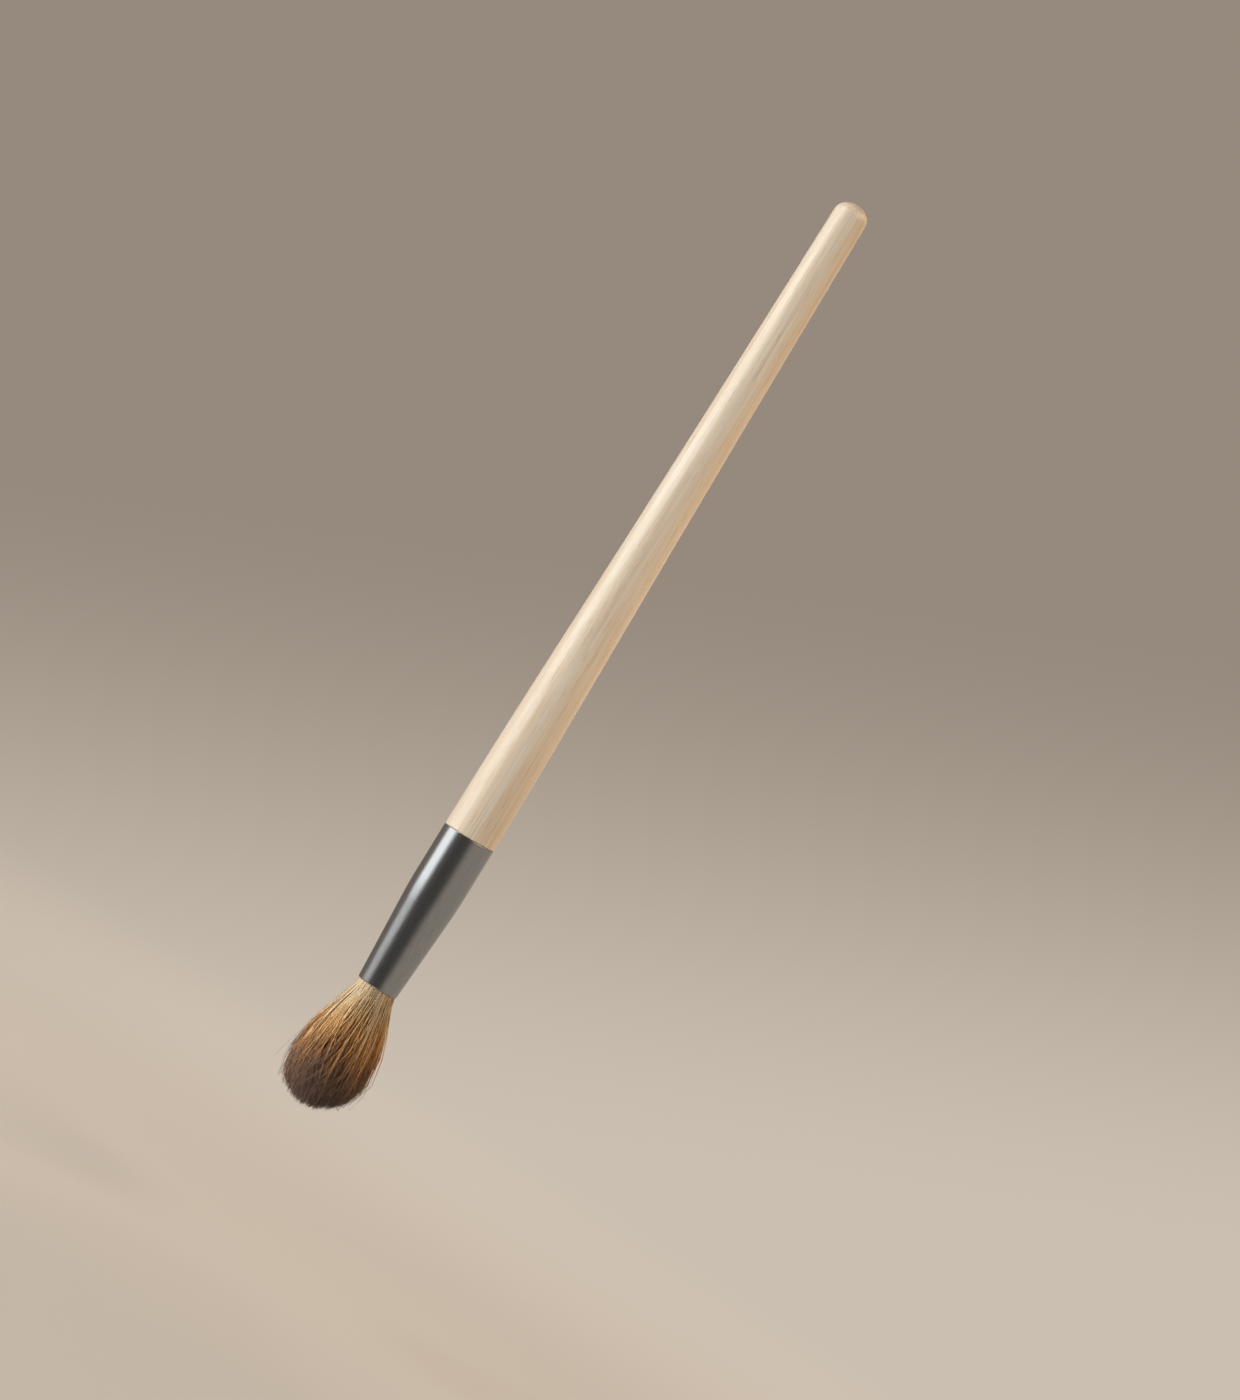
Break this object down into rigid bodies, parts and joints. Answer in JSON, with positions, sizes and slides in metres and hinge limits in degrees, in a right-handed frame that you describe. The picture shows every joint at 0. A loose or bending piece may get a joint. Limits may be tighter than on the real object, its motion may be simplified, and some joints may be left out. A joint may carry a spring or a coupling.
{
  "type": "eyeshadow brush",
  "caption": "Slim round eyeshadow brush: a turned bamboo handle glued into a necked metal ferrule that clamps a soft flaring tuft with a rounded dome.",
  "frame": {"origin": "on the brush's axis, half-way along the straight collar of the ferrule, where a rack ring or a guard sleeve holds the brush", "axes": "+Z runs along the axis from the tuft to the handle's end, so the tuft points down; the tuft bends about Y"},
  "size_m": [0.0126, 0.0126, 0.16],
  "materials": {
    "lacquered_bamboo": "satin",
    "wood_glue": "satin",
    "gunmetal_aluminium": "satin",
    "epoxy_resin": "gloss",
    "polyester_thread": "matte",
    "synthetic_hair": "satin"
  },
  "bodies": {
    "brush": {"handle": "lacquered_bamboo", "tenon_glue": "wood_glue", "ferrule": "gunmetal_aluminium", "root_resin": "epoxy_resin", "binding_thread": "polyester_thread", "hair_roots": "synthetic_hair"},
    "tuft": {"hair_tuft": "synthetic_hair"}
  },
  "joints": [
    {"name": "tuft_bend", "type": "hinge", "parent": "brush", "child": "tuft", "pos_m": [0, 0, -0.026], "axis": [0, 1, 0], "range_deg": [-30, 30], "stiffness_Nm_per_rad": 0.004, "deforming": ["hair_roots"]}
  ]
}
